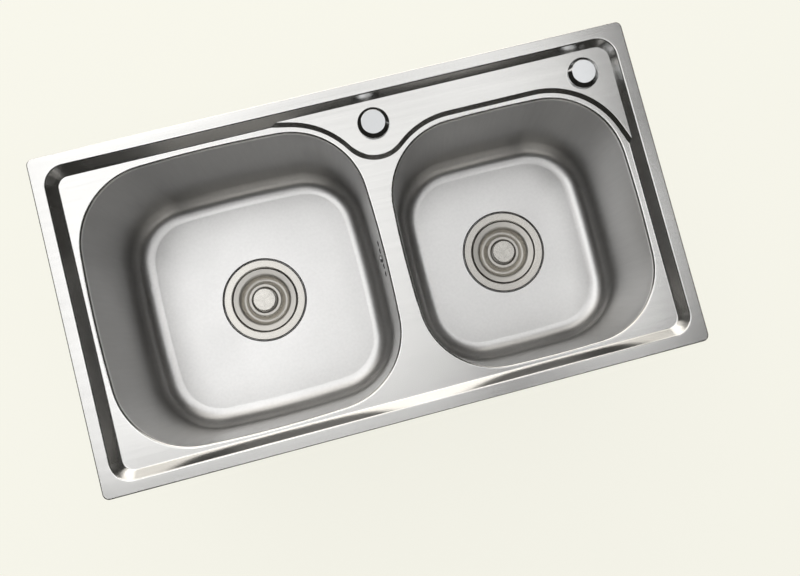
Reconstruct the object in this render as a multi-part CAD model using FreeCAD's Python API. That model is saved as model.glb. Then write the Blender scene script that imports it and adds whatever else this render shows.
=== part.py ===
# Double bowl kitchen sink for dropping into a worktop, with its strainers, overflow and fixings.
#
# Millimetres. The origin is the middle of the plane where the rim sits on the worktop.
# +X runs along the sink to the smaller bowl, +Y to the tap side, +Z up.
import FreeCAD
import Part
import math
import os

vec = FreeCAD.Vector
UP = vec(0, 0, 1)
QUARTERS = ((1, 1), (-1, 1), (-1, -1), (1, -1))
OVER = 2.0  # how far a cutting solid stands past what it cuts

# --- pressed top panel ---------------------------------------------------------------------
sink_length = 720.0
sink_width = 400.0
sheet = 0.8  # steel thickness of the panel and the bowls
outer_corner = 8.0
rim_width = 15.0
rim_rise = 3.0  # rim's top above the worktop
rim_edge_round = 1.6
slope_width = 9.6  # of the step from the rim down to the deck, seen from above
slope_corner = 23.5
slope_top_round = 2.4
slope_foot_round = 2.0
deck_drop = 16.0  # rim's top to the deck round the bowls
tap_deck_drop = 11.0  # rim's top to the raised deck for the taps
band_width = 4.6  # of the wavy step between the two decks, seen from above
band_strip = 7.0  # deck left between a bowl's edge and the wavy step
band_round = 1.2
lobe_radius = 43.0  # of the wavy step where it goes round the middle tap hole
band_left_angle = 78.0  # where the wavy step leaves the left bowl's corner for the back slope
band_right_angle = 20.0  # where it leaves the right bowl's corner for the right slope
band_run = 95.0  # straight run that carries it out through the slope

# --- bowls ---------------------------------------------------------------------------------
bowl_depth = 200.0  # rim's top to the bowl floors
bowl_corner = 90.0
bowl_side_radius = 1500.0  # the sides are slightly bowed
bowl_draft = 10.0  # how far a wall leans in between the deck and the floor
bowl_floor_round = 26.0
bowl_edge_round = 3.0
collar_depth = 5.0  # panel's turned-down collar, which each bowl is seam-welded to
smaller_bowl_shorter = 52.4  # right bowl's length below the left bowl's
smaller_bowl_narrower = 34.4  # right bowl's width below the left bowl's
divider_width = 25.0  # deck between the bowls
deck_margin_left = 6.1  # deck from the slope's foot to a bowl
deck_margin_right = 8.1
deck_margin_front = 5.6
deck_margin_back = 7.3  # behind the left bowl

# --- sealing strip under the rim -----------------------------------------------------------
seal_width = 9.0
seal_inset = 1.0  # from the rim's turned-down lip

# --- tap-hole covers -----------------------------------------------------------------------
tap_hole_radius = 17.5
right_tap_hole_inset = 58.7  # from the sink's right edge
cap_radius = 19.0
cap_height = 7.0
cap_bevel = 4.6
cap_edge_round = 1.0
cap_wall = 1.6
cap_gasket_thick = 0.8
cap_gasket_lap = 1.0
cap_stud_radius = 4.0
cap_stud_length = 26.0
cap_washer_radius = 23.0
cap_washer_thick = 2.0
cap_nut_radius = 8.5
cap_nut_height = 8.0
wing_reach = 17.0
wing_thick = 3.0
thread_play = 0.15  # radial room between a screw thread's solid and its nut's
hole_play = 0.4  # radial room round a shank in a plain hole
recess_blade = 1.1  # width of the crossed slots in a screw's head
recess_sink = 1.4  # their depth
recess_edge = 1.6  # their ends from the head's edge

# --- strainers -----------------------------------------------------------------------------
recess_radius = 56.6  # pressed seat in a bowl floor
recess_depth = 2.4
recess_flare = 1.6
floor_hole_radius = 46.2
flange_radius = 55.0
flange_sink = 0.2  # flange's top below the bowl floor
cup_radius = 45.0
cup_wall = 1.2
cup_depth = 46.0
cup_bend = 1.5
neck_radius = 24.0
neck_length = 16.0
gasket_inset = 1.0  # from the floor hole's edge
gasket_show = 1.3  # seen round the flange's edge
nut_play = 0.5
seat_clearance = 0.3
floor_gasket_radius = 58.0
floor_gasket_thick = 3.0
friction_ring_thick = 1.0
lock_nut_radius = 58.0
lock_nut_height = 12.0
lock_nut_lugs = 8
lock_nut_lug_radius = 6.0
lock_nut_lug_out = 1.5

# --- lift-out baskets ----------------------------------------------------------------------
basket_radius = 43.0
basket_sheet = 0.6
basket_rim_dip = 1.0  # rim's edge below the bowl floor
trough_radius = 33.4
trough_lip_dip = 2.2
trough_lip_round = 4.0
trough_depth = 15.0
trough_floor_radius = 31.6
trough_inner_radius = 26.0
trough_round = 3.0
crest_radius = 22.6
crest_width = 5.0
crest_dip = 3.0
crest_round = 1.0
dish_radius = 17.0
dish_dip = 8.0
dish_round = 1.2
basket_holes = 36
basket_hole_radius = 1.1
knob_radius = 15.6
knob_thick = 3.4
knob_rise = 3.6  # knob's top above the bowl floor
knob_neck_radius = 7.0
knob_edge_round = 1.0
post_radius = 3.5
post_bead_radius = 6.5
post_bead_thick = 2.0
stopper_radius = 26.5
stopper_thick = 4.0

# --- outlet housings under the bowls -------------------------------------------------------
outlet_collar_radius = 30.0
outlet_collar_gap = 2.0  # from the strainer cup down to the collar
chamber_radius = 34.0
chamber_height = 24.0
housing_wall = 3.0
outlet_radius = 23.9  # spigot thread for a 1 1/2 inch trap
outlet_bore = 20.0
outlet_length = 26.0
outlet_cone = 9.0
outlet_seal_thick = 2.0
seal_lap = 1.8

# --- overflow of the left bowl -------------------------------------------------------------
overflow_drop = 63.0  # rim's top to the middle of the slots
overflow_shift = -2.2  # the slots' middle from the bowl's middle, along Y
slot_pitch = 9.7
slot_width = 6.0
slot_height = 16.0
slot_pairs = 2
overflow_box_width = 54.0
overflow_box_height = 30.0
overflow_box_back = 20.0  # box's back from its open face
overflow_box_wall = 2.0
overflow_gasket_thick = 1.2  # where it is thinnest
overflow_window_frame = 4.0
pipe_radius = 9.0
pipe_bore = 7.2
pipe_bend = 26.0
pipe_socket_wall = 2.2
pipe_socket_depth = 14.0
pipe_play = 0.2
pipe_column_inset = 9.6  # pipe's axis from the overflow box's back
port_length = 24.0  # overflow socket out of the left outlet housing
overflow_screw_radius = 2.4
overflow_screw_head = 4.6
overflow_screw_head_thick = 2.4
overflow_boss_radius = 5.0

# --- worktop clips -------------------------------------------------------------------------
worktop_thick = 38.0
clip_spacing = 110.0
bracket_width = 24.0
bracket_thick = 1.5
bracket_gap = 1.0  # below the panel's collar
bracket_low = 30.0  # tab's top below the worktop plane
bracket_height = 12.0  # leg below the tab's top
tab_end = -16.0  # tab's tip from the rim's outer edge
screw_line = -19.5
clip_width = 18.0
clip_thick = 1.8
clip_rise = 5.0
clip_inner = -25.0  # clip's heel
clip_edge_gap = 3.0  # clip's tip inside the rim's outer edge
clip_screw_radius = 2.5
clip_screw_spare = 9.0
clip_screw_head = 4.5
clip_screw_head_thick = 3.5

# --- sound-deadening pads ------------------------------------------------------------------
pad_thick = 2.5
pad_margin = 46.0  # from a bowl's outline to its pad
pad_nut_gap = 10.5  # from the strainer's nut to the pad's hole

# --- levels and places worked out from them ------------------------------------------------
rim_top = rim_rise
deck_top = rim_top - deck_drop
tap_deck_top = rim_top - tap_deck_drop
floor_top = rim_top - bowl_depth
collar_bottom = deck_top - collar_depth
wall_height = deck_top - floor_top
wall_lean = bowl_draft / wall_height
foot_half_length = sink_length / 2 - rim_width - slope_width
foot_half_width = sink_width / 2 - rim_width - slope_width
bowls_front = -foot_half_width + deck_margin_front
left_bowl_left = -foot_half_length + deck_margin_left
right_bowl_right = foot_half_length - deck_margin_right
both_lengths = right_bowl_right - left_bowl_left - divider_width
left_bowl_length = (both_lengths + smaller_bowl_shorter) / 2
right_bowl_length = left_bowl_length - smaller_bowl_shorter
left_bowl_right = left_bowl_left + left_bowl_length
right_bowl_left = right_bowl_right - right_bowl_length
left_bowl_width = foot_half_width - deck_margin_back - bowls_front
right_bowl_width = left_bowl_width - smaller_bowl_narrower


class Bowl:
    """Where one bowl lies and how large its mouth is."""

    def __init__(self, name, left, length, width):
        self.name = name
        self.length = length
        self.width = width
        self.centre = vec(left + length / 2, bowls_front + width / 2, 0)


left_bowl = Bowl("left", left_bowl_left, left_bowl_length, left_bowl_width)
right_bowl = Bowl("right", right_bowl_left, right_bowl_length, right_bowl_width)


# --- outlines and plain forms --------------------------------------------------------------
def arc(start, middle, end):
    return Part.Arc(start, middle, end).toShape()


def line(start, end):
    return Part.LineSegment(start, end).toShape()


def polar(centre, radius, degrees):
    turn = math.radians(degrees)
    return centre + vec(radius * math.cos(turn), radius * math.sin(turn), 0)


def towards(start, end, distance):
    """The point at a distance from one point on the way to another."""
    return start + (end - start).normalize() * distance


def arc_round(centre, radius, first, second):
    """The shorter arc of a circle between two of its points."""
    return arc(first, towards(centre, (first + second) * 0.5, radius), second)


def circles_meet(first, first_radius, second, second_radius):
    """Where two circles cross, on the left of the way from the first to the second."""
    way = second - first
    gap = way.Length
    along = (first_radius**2 - second_radius**2 + gap**2) / (2 * gap)
    aside = math.sqrt(first_radius**2 - along**2)
    way.normalize()
    return first + way * along + vec(-way.y, way.x, 0) * aside


def rounded_outline(length, width, corner, z):
    """A rectangle about the origin with round corners."""
    edges = []
    for number, (across, along) in enumerate(QUARTERS):
        middle = vec(across * (length / 2 - corner), along * (width / 2 - corner), z)
        begin = polar(middle, corner, 90 * number)
        half_way = polar(middle, corner, 90 * number + 45)
        end = polar(middle, corner, 90 * number + 90)
        edges.append(arc(begin, half_way, end))
        following = QUARTERS[(number + 1) % 4]
        onward = vec(
            following[0] * (length / 2 - corner), following[1] * (width / 2 - corner), z
        )
        edges.append(line(end, polar(onward, corner, 90 * number + 90)))
    return Part.Wire(edges)


def corner_centre(bowl):
    """The centre of a bowl's back right corner, from the bowl's middle."""
    side = vec(bowl.length / 2 - bowl_side_radius, 0, 0)
    back = vec(0, bowl.width / 2 - bowl_side_radius, 0)
    reach = bowl_side_radius - bowl_corner
    return circles_meet(side, reach, back, reach)


def bowl_outline(bowl, z, grow=0.0):
    """A bowl's outline, grown outwards: slightly bowed sides that run into round corners."""
    side = vec(bowl.length / 2 - bowl_side_radius, 0, 0)
    back = vec(0, bowl.width / 2 - bowl_side_radius, 0)
    corner = corner_centre(bowl)
    on_side = towards(side, corner, bowl_side_radius + grow)
    on_back = towards(back, corner, bowl_side_radius + grow)
    on_corner = towards(corner, (on_side + on_back) * 0.5, bowl_corner + grow)
    mid_side = vec(bowl.length / 2 + grow, 0, 0)
    mid_back = vec(0, bowl.width / 2 + grow, 0)

    def place(point, across, along):
        return bowl.centre + vec(point.x * across, point.y * along, z)

    edges = []
    for number, (across, along) in enumerate(QUARTERS):
        if number % 2 == 0:
            begin, end, bow = on_side, on_back, mid_back
            far = place(end, -across, along)
        else:
            begin, end, bow = on_back, on_side, mid_side
            far = place(end, across, -along)
        start = place(begin, across, along)
        turn = place(end, across, along)
        edges.append(arc(start, place(on_corner, across, along), turn))
        edges.append(arc(turn, place(bow, across, along), far))
    return Part.Wire(edges)


def prism(outline, height):
    return Part.Face(outline).extrude(UP * height)


def ruled_solid(lower, upper):
    return Part.makeLoft([lower, upper], True, True)


def tube(inner, outer, low, high, centre):
    """An upright tube or flat ring round a centre."""
    body = Part.makeCylinder(outer, high - low, centre + UP * low)
    return body.cut(Part.makeCylinder(inner, high - low, centre + UP * low))


def drill(radius, low, high, centre):
    """An upright cutting cylinder that stands past both ends."""
    return Part.makeCylinder(radius, high - low + 2 * OVER, centre + UP * (low - OVER))


def along_x(radius, start, end):
    """A round bar along X from one point to another."""
    return Part.makeCylinder(radius, end - start.x, start, vec(1, 0, 0))


def crossed_slots(head, placement):
    """The cutter for the slots in a screw's head, which looks along the placement's -Z."""
    reach = head - recess_edge
    corner = vec(-reach, -recess_blade / 2, -OVER)
    blade = Part.makeBox(2 * reach, recess_blade, OVER + recess_sink, corner)
    other = blade.rotated(vec(0, 0, 0), UP, 90)
    return placed(blade.fuse(other), placement)


def placed(shape, placement):
    return shape.transformed(placement.toMatrix())


def edges_on(shape, outline):
    """The edges of a shape whose middles lie on an outline."""
    near = 0.02
    found = []
    for edge in shape.Edges:
        middle = edge.valueAt((edge.FirstParameter + edge.LastParameter) / 2)
        if outline.distToShape(Part.Vertex(middle))[0] < near:
            found.append(edge)
    return found


def section_point(point):
    """A point given as radius and height, in the XZ plane."""
    return vec(point[0], 0, point[1])


def rounded_path(points, radii):
    """Edges along a path of radius and height points, with its corners rounded."""
    places = [section_point(point) for point in points]
    edges = []
    last = places[0]
    for before, here, after, radius in zip(places, places[1:], places[2:], radii):
        back = (before - here).normalize()
        on = (after - here).normalize()
        half_turn = (math.pi - back.getAngle(on)) / 2
        cut = radius * math.tan(half_turn)
        begin = here + back * cut
        end = here + on * cut
        centre = towards(here, here + back + on, radius / math.cos(half_turn))
        edges.append(line(last, begin))
        edges.append(arc(begin, towards(centre, here, radius), end))
        last = end
    edges.append(line(last, places[-1]))
    return edges


def left_of(before, after):
    """Unit normal on the left of the way from one section point to another."""
    way = vec(after[0] - before[0], after[1] - before[1], 0).normalize()
    return vec(-way.y, way.x, 0)


def turned_sheet(points, thick, bends, centre):
    """Sheet of one thickness spun round a centre. The path is its upper or inner face."""
    normals = [left_of(before, after) for before, after in zip(points, points[1:])]
    ends = [normals[0]] + normals + [normals[-1]]
    other = []
    for point, before, after in zip(points, ends, ends[1:]):
        shift = (before + after) * (thick / (1 + before.dot(after)))
        other.append((point[0] + shift.x, point[1] + shift.y))
    face_radii = []
    other_radii = []
    for before, after, bend in zip(normals, normals[1:], bends):
        turns_left = before.x * after.y - before.y * after.x > 0
        face_radii.append(bend + thick if turns_left else bend)
        other_radii.append(bend if turns_left else bend + thick)
    face_edges = rounded_path(points, face_radii)
    other_edges = rounded_path(other, other_radii)
    first = line(section_point(other[0]), section_point(points[0]))
    final = line(section_point(points[-1]), section_point(other[-1]))
    wire = Part.Wire(Part.__sortEdges__(face_edges + [final] + other_edges + [first]))
    return spun(wire, centre)


def spun(wire, centre):
    """A closed section spun round an upright line through a centre."""
    body = Part.Face(wire).revolve(vec(0, 0, 0), UP, 360)
    return body.translated(centre)


def spun_points(points, centre):
    """A closed section with sharp corners, spun round a centre."""
    places = [section_point(point) for point in points]
    return spun(Part.makePolygon(places + [places[0]]), centre)


def side_shift(drop, rise, run):
    """How far a slope's ends move sideways when its sheet's other face lies lower."""
    return drop * math.tan(math.atan2(rise, run) / 2)


# --- pressed top panel ---------------------------------------------------------------------
def trough(drop):
    """The space over the sunken deck, inside the slope round it."""
    shift = side_shift(drop, deck_drop, slope_width)
    foot = rounded_outline(
        2 * (foot_half_length + shift),
        2 * (foot_half_width + shift),
        slope_corner - slope_width + shift,
        deck_top - drop,
    )
    body = ruled_solid(foot, slope_top(drop))
    return body.makeFillet(slope_foot_round + drop, edges_on(body, foot))


def slope_top(drop):
    """The outline where the rim turns down into the slope."""
    shift = side_shift(drop, deck_drop, slope_width)
    return rounded_outline(
        2 * (foot_half_length + slope_width + shift),
        2 * (foot_half_width + slope_width + shift),
        slope_corner + shift,
        rim_top - drop,
    )


def tap_hole_places():
    """The middle tap hole, round which the wavy step runs, and the right one beside it."""
    left = left_bowl.centre + corner_centre(left_bowl)
    inward = corner_centre(right_bowl)
    right = right_bowl.centre + vec(-inward.x, inward.y, 0)
    reach = bowl_corner + band_strip + lobe_radius
    middle = circles_meet(left, reach, right, reach)
    return [middle, vec(sink_length / 2 - right_tap_hole_inset, middle.y, 0)]


def band_path(shift, z):
    """The wavy step's line: round both bowls' corners and, between them, the tap hole."""
    lift = UP * z
    inward = corner_centre(right_bowl)
    left = left_bowl.centre + corner_centre(left_bowl) + lift
    inner = right_bowl.centre + vec(-inward.x, inward.y, z)
    outer = right_bowl.centre + inward + lift
    lobe = tap_hole_places()[0] + lift
    radius = bowl_corner + band_strip + shift
    run_out = polar(left, radius, band_left_angle)
    far_left = polar(run_out, band_run, band_left_angle + 90)
    to_lobe = towards(left, lobe, radius)
    from_lobe = towards(inner, lobe, radius)
    top_start = polar(inner, radius, 90)
    top_end = polar(outer, radius, 90)
    run_down = polar(outer, radius, band_right_angle)
    far_right = polar(run_down, band_run, band_right_angle - 90)
    return [
        line(far_left, run_out),
        arc_round(left, radius, run_out, to_lobe),
        arc(to_lobe, lobe - vec(0, lobe_radius - shift, 0), from_lobe),
        arc_round(inner, radius, from_lobe, top_start),
        line(top_start, top_end),
        arc_round(outer, radius, top_end, run_down),
        line(run_down, far_right),
    ]


def band_outline(shift, z):
    """The wavy line closed far behind the sink."""
    path = band_path(shift, z)
    start = path[0].valueAt(path[0].FirstParameter)
    end = path[-1].valueAt(path[-1].LastParameter)
    far_x = sink_length
    far_y = sink_width
    closing = [
        line(end, vec(far_x, end.y, z)),
        line(vec(far_x, end.y, z), vec(far_x, far_y, z)),
        line(vec(far_x, far_y, z), vec(start.x, far_y, z)),
        line(vec(start.x, far_y, z), start),
    ]
    return Part.Wire(path + closing)


def tap_step(drop):
    """What lifts the tap deck above the bowl deck, with its rounded upper edge."""
    shift = side_shift(drop, deck_drop - tap_deck_drop, band_width)
    lower = band_outline(shift, deck_top - drop)
    upper_path = band_path(shift + band_width, tap_deck_top - drop)
    upper = band_outline(shift + band_width, tap_deck_top - drop)
    body = ruled_solid(lower, upper)
    return body.makeFillet(band_round, edges_on(body, Part.Wire(upper_path)))


def pressed(slab, drop):
    """A slab cut away down to the pressed surface, or to its underside one sheet lower."""
    body = slab.cut(trough(drop).cut(tap_step(drop)))
    body = body.makeFillet(slope_top_round - drop, edges_on(body, slope_top(drop)))
    for bowl in (left_bowl, right_bowl):
        body = body.cut(bowl_form(bowl, drop))
        mouth = bowl_outline(bowl, deck_top - drop, drop * (1 - wall_lean))
        body = body.makeFillet(bowl_edge_round - drop, edges_on(body, mouth))
    return body


def rim_slab(drop, low):
    """The outer rectangle up to the rim's top, with its rounded upper edge."""
    length = sink_length - 2 * drop
    width = sink_width - 2 * drop
    top = rounded_outline(length, width, outer_corner - drop, rim_top - drop)
    base = rounded_outline(length, width, outer_corner - drop, low)
    body = prism(base, rim_top - drop - low)
    return body.makeFillet(rim_edge_round - drop, edges_on(body, top))


def bowl_form(bowl, grow=0.0):
    """The space inside a bowl, grown by its steel for the outside. It stands past the deck."""
    low = floor_top - grow
    high = deck_top + OVER
    floor_line = bowl_outline(bowl, low, grow - wall_lean * (deck_top - low))
    body = ruled_solid(floor_line, bowl_outline(bowl, high, grow + wall_lean * OVER))
    return body.makeFillet(bowl_floor_round + grow, edges_on(body, floor_line))


def top_panel():
    """Rim, slope and both decks pressed from one sheet, with a collar for each bowl."""
    outline = rounded_outline(
        2 * (foot_half_length + slope_width) + rim_width / 2,
        2 * (foot_half_width + slope_width) + rim_width / 2,
        slope_corner,
        collar_bottom,
    )
    core = prism(outline, rim_top / 2 - collar_bottom)
    upper = pressed(rim_slab(0, 0).fuse(core), 0)
    lower = pressed(rim_slab(sheet, collar_bottom - OVER), sheet)
    body = upper.cut(lower)
    for place in tap_hole_places():
        body = body.cut(drill(tap_hole_radius, deck_top, rim_top, place))
    return body


# --- bowls ---------------------------------------------------------------------------------
def slot_places():
    """Heights and places along Y of the overflow slots, either side of the screw."""
    middle = overflow_middle()
    steps = [step for step in range(-slot_pairs, slot_pairs + 1) if step != 0]
    return [middle + vec(0, step * slot_pitch, 0) for step in steps]


def overflow_middle():
    """The middle of the slots, on the inner face of the left bowl's right wall."""
    z = rim_top - overflow_drop
    lean = wall_lean * (deck_top - z)
    return vec(left_bowl_right - lean, left_bowl.centre.y + overflow_shift, z)


def slot_cutter(place):
    """An upright slot with round ends, cut through the wall along X."""
    half = (slot_height - slot_width) / 2
    start = place - vec(slot_height, 0, 0)
    through = 2 * slot_height
    cutter = Part.makeBox(through, slot_width, 2 * half, start - vec(0, slot_width / 2, half))
    for rise in (-half, half):
        end = Part.makeCylinder(
            slot_width / 2, through, start + vec(0, 0, rise), vec(1, 0, 0)
        )
        cutter = cutter.fuse(end)
    return cutter


def strainer_seat(bowl, grow):
    """The round recess in a bowl floor, grown by its steel for the underside."""
    tall = recess_depth + OVER
    flare = recess_flare * tall / recess_depth
    base = bowl.centre + UP * (floor_top - recess_depth - grow)
    radius = recess_radius + grow
    return Part.makeCone(radius, radius + flare, tall, base)


def bowl_shell(bowl):
    """A pressed bowl with a recess and hole for its strainer, open above its weld."""
    outside = bowl_form(bowl, sheet).fuse(strainer_seat(bowl, sheet))
    inside = bowl_form(bowl).fuse(strainer_seat(bowl, 0))
    body = outside.cut(inside)
    body = body.cut(drill(floor_hole_radius, floor_top - recess_depth, floor_top, bowl.centre))
    over = Part.makeBox(
        sink_length, sink_width, rim_top - collar_bottom,
        bowl.centre + vec(-sink_length / 2, -sink_width / 2, collar_bottom),
    )
    return body.cut(over)


def left_bowl_shell():
    """The larger bowl, with the overflow's slots and screw hole in its right wall."""
    body = bowl_shell(left_bowl)
    for place in slot_places():
        body = body.cut(slot_cutter(place))
    start = overflow_middle() - vec(OVER, 0, 0)
    return body.cut(along_x(overflow_screw_radius + hole_play, start, start.x + 3 * OVER))


# --- rim seal and tap-hole covers ----------------------------------------------------------
def rim_seal():
    """Foam strip that fills the rim's underside down to the worktop."""
    length = sink_length - 2 * (sheet + seal_inset)
    width = sink_width - 2 * (sheet + seal_inset)
    corner = outer_corner - sheet - seal_inset
    thick = rim_top - sheet
    outer = prism(rounded_outline(length, width, corner, 0), thick)
    inner = rounded_outline(length - 2 * seal_width, width - 2 * seal_width, corner, -OVER)
    return outer.cut(prism(inner, thick + 2 * OVER))


def tap_cap(place):
    """Polished cover with a bevelled edge, hollow below, on a stud through the tap hole."""
    base = place + UP * (tap_deck_top + cap_gasket_thick)
    inner_height = cap_height - cap_wall
    inner_bevel = cap_bevel - cap_wall * (2 - math.sqrt(2))  # keeps the wall's thickness
    body = bevelled_disc(cap_radius, cap_height, cap_bevel, base)
    hollow = bevelled_disc(cap_radius - cap_wall, inner_height, inner_bevel, base)
    stud_low = tap_deck_top - sheet - cap_stud_length
    stud = Part.makeCylinder(
        cap_stud_radius, base.z + inner_height - stud_low, place + UP * stud_low
    )
    return body.cut(hollow).fuse(stud)


def bevelled_disc(radius, height, bevel, base):
    """A disc whose upper edge is cut at 45 degrees, with the cut's two edges rounded."""
    disc = Part.makeCylinder(radius, height, base)
    disc = disc.makeChamfer(bevel, edges_on(disc, ring_line(radius, base, height)))
    upper = edges_on(disc, ring_line(radius - bevel, base, height))
    lower = edges_on(disc, ring_line(radius, base, height - bevel))
    return disc.makeFillet(cap_edge_round, upper + lower)


def ring_line(radius, base, rise):
    """A circle above a base point."""
    return Part.Wire(Part.makeCircle(radius, base + UP * rise))


def cap_gaskets():
    """Rubber rings between the covers and the tap deck."""
    low = tap_deck_top
    inner = cap_radius - cap_wall - cap_gasket_lap
    return [
        tube(inner, cap_radius - cap_gasket_lap / 2, low, low + cap_gasket_thick, place)
        for place in tap_hole_places()
    ]


def cap_washers():
    """Discs under the tap deck that close the tap holes from below."""
    high = tap_deck_top - sheet
    return [
        tube(cap_stud_radius + hole_play, cap_washer_radius, high - cap_washer_thick, high, place)
        for place in tap_hole_places()
    ]


def cap_nuts():
    """Wing nuts on the studs."""
    high = tap_deck_top - sheet - cap_washer_thick
    low = high - cap_nut_height
    nuts = []
    for place in tap_hole_places():
        wings = Part.makeBox(
            2 * wing_reach, wing_thick, cap_nut_height,
            place + vec(-wing_reach, -wing_thick / 2, low),
        )
        barrel = Part.makeCylinder(cap_nut_radius, cap_nut_height, place + UP * low)
        bore = drill(cap_stud_radius + thread_play, low, high, place)
        nuts.append(barrel.fuse(wings).cut(bore))
    return nuts


# --- strainers -----------------------------------------------------------------------------
def strainer_body(bowl):
    """Flange, cup and threaded neck turned from one sheet."""
    top = floor_top - flange_sink
    inner = cup_radius - cup_wall
    cup_floor = floor_top - cup_depth + cup_wall
    neck_inner = neck_radius - cup_wall
    path = [
        (flange_radius, top),
        (inner, top),
        (inner, cup_floor),
        (neck_inner, cup_floor),
        (neck_inner, floor_top - cup_depth - neck_length),
    ]
    return turned_sheet(path, cup_wall, [cup_bend] * 3, bowl.centre)


def flange_gasket(bowl):
    """Thin rubber ring between the flange and the recess in the bowl floor."""
    low = floor_top - recess_depth
    high = floor_top - flange_sink - cup_wall
    return tube(floor_hole_radius + gasket_inset, flange_radius + gasket_show, low, high, bowl.centre)


def under_floor(step):
    """Height of the stack below the bowl floor: gasket, friction ring, lock nut."""
    seat = floor_top - recess_depth - sheet
    return seat - sum((floor_gasket_thick, friction_ring_thick, lock_nut_height)[:step])


def floor_gasket(bowl):
    inner = cup_radius + nut_play
    return tube(inner, floor_gasket_radius, under_floor(1), under_floor(0), bowl.centre)


def friction_ring(bowl):
    inner = cup_radius + nut_play
    return tube(inner, floor_gasket_radius, under_floor(2), under_floor(1), bowl.centre)


def lock_nut(bowl):
    """Moulded nut with lugs round it, which clamps the strainer to the bowl floor."""
    low = under_floor(3)
    high = under_floor(2)
    body = Part.makeCylinder(lock_nut_radius, high - low, bowl.centre + UP * low)
    for number in range(lock_nut_lugs):
        place = polar(
            bowl.centre, lock_nut_radius - lock_nut_lug_radius + lock_nut_lug_out,
            number * 360 / lock_nut_lugs,
        )
        lug = Part.makeCylinder(lock_nut_lug_radius, high - low, place + UP * low)
        body = body.fuse(lug)
    return body.cut(drill(cup_radius + thread_play, low, high, bowl.centre))


# --- lift-out baskets ----------------------------------------------------------------------
def basket(bowl):
    """Pressed strainer: dished rim, a round trough with holes in its walls, a crest, a dish."""
    path = [
        (basket_radius, floor_top - basket_rim_dip),
        (trough_radius, floor_top - trough_lip_dip),
        (trough_floor_radius, floor_top - trough_depth),
        (trough_inner_radius, floor_top - trough_depth),
        (crest_radius, floor_top - crest_dip),
        (crest_radius - crest_width, floor_top - crest_dip),
        (dish_radius, floor_top - dish_dip),
        (post_radius + hole_play, floor_top - dish_dip),
    ]
    bends = [trough_lip_round, trough_round, trough_round, crest_round, crest_round, dish_round]
    body = turned_sheet(path, basket_sheet, bends, bowl.centre)
    height = floor_top - (trough_depth + trough_lip_dip) / 2
    reach = trough_radius - crest_radius + crest_width
    holes = []
    for number in range(basket_holes):
        degrees = number * 360 / basket_holes
        start = polar(bowl.centre, crest_radius - crest_width / 2, degrees) + UP * height
        away = polar(vec(0, 0, 0), 1, degrees)
        holes.append(Part.makeCylinder(basket_hole_radius, reach, start, away))
    return body.cut(Part.makeCompound(holes))


def basket_knob(bowl):
    """Knob, its post down through the basket, and the beads that hold the stopper."""
    high = floor_top + knob_rise
    dish = floor_top - dish_dip
    stopper_low = stopper_height()
    knob = Part.makeCylinder(knob_radius, knob_thick, bowl.centre + UP * (high - knob_thick))
    rims = [
        ring_line(knob_radius, bowl.centre, high),
        ring_line(knob_radius, bowl.centre, high - knob_thick),
    ]
    knob = knob.makeFillet(knob_edge_round, edges_on(knob, rims[0]) + edges_on(knob, rims[1]))
    neck = Part.makeCylinder(knob_neck_radius, high - knob_thick - dish, bowl.centre + UP * dish)
    post = Part.makeCylinder(post_radius, dish - stopper_low, bowl.centre + UP * stopper_low)
    upper_bead = Part.makeCylinder(
        post_bead_radius, post_bead_thick, bowl.centre + UP * (stopper_low + stopper_thick)
    )
    lower_bead = Part.makeCylinder(
        post_bead_radius, post_bead_thick, bowl.centre + UP * (stopper_low - post_bead_thick)
    )
    return knob.fuse([neck, post, upper_bead, lower_bead])


def stopper_height():
    """Underside of the stopper, just clear of the cup's floor."""
    return floor_top - cup_depth + cup_wall + seat_clearance


def basket_stopper(bowl):
    """Rubber disc that closes the neck when the basket is pushed down."""
    low = stopper_height()
    return tube(post_radius, stopper_radius, low, low + stopper_thick, bowl.centre)


# --- outlet housings -----------------------------------------------------------------------
def outlet_levels():
    """Heights down a housing: collar top, seal seat, chamber roof, chamber floor, cone, end."""
    collar_top = floor_top - cup_depth - outlet_collar_gap
    seat = floor_top - cup_depth - neck_length - outlet_seal_thick
    roof = seat - housing_wall
    floor = roof - chamber_height
    cone = floor - outlet_cone
    return collar_top, seat, roof, floor, cone, cone - outlet_length


def outlet_seal(bowl):
    seat = outlet_levels()[1]
    inner = neck_radius - cup_wall - seal_lap
    return tube(inner, neck_radius, seat, seat + outlet_seal_thick, bowl.centre)


def outlet_housing(bowl):
    """Moulded housing on the neck: collar, chamber and the threaded spigot for a trap."""
    collar_top, seat, roof, floor, cone, end = outlet_levels()
    way = neck_radius - cup_wall - seal_lap
    socket = neck_radius + thread_play
    outside = chamber_radius
    return spun_points(
        [
            (socket, collar_top),
            (outlet_collar_radius, collar_top),
            (outlet_collar_radius, seat),
            (outside, seat),
            (outside, floor),
            (outlet_radius, cone),
            (outlet_radius, end),
            (outlet_bore, end),
            (outlet_bore, cone),
            (outside - housing_wall, floor),
            (outside - housing_wall, roof),
            (way, roof),
            (way, seat),
            (socket, seat),
        ],
        bowl.centre,
    )


def pipe_axis_height():
    roof, floor = outlet_levels()[2:4]
    return (roof + floor) / 2


def left_outlet_housing():
    """The left housing also has a socket on its right side for the overflow pipe."""
    body = outlet_housing(left_bowl)
    centre = left_bowl.centre + UP * pipe_axis_height()
    start = centre + vec(chamber_radius - housing_wall / 2, 0, 0)
    end = centre.x + chamber_radius + port_length
    socket = pipe_radius + pipe_play
    port = along_x(socket + pipe_socket_wall, start, end)
    way = along_x(pipe_bore, centre + vec(outlet_bore, 0, 0), end)
    seat = along_x(socket, vec(end - pipe_socket_depth, centre.y, centre.z), end + OVER)
    return body.fuse(port).cut(way.fuse(seat))


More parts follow.
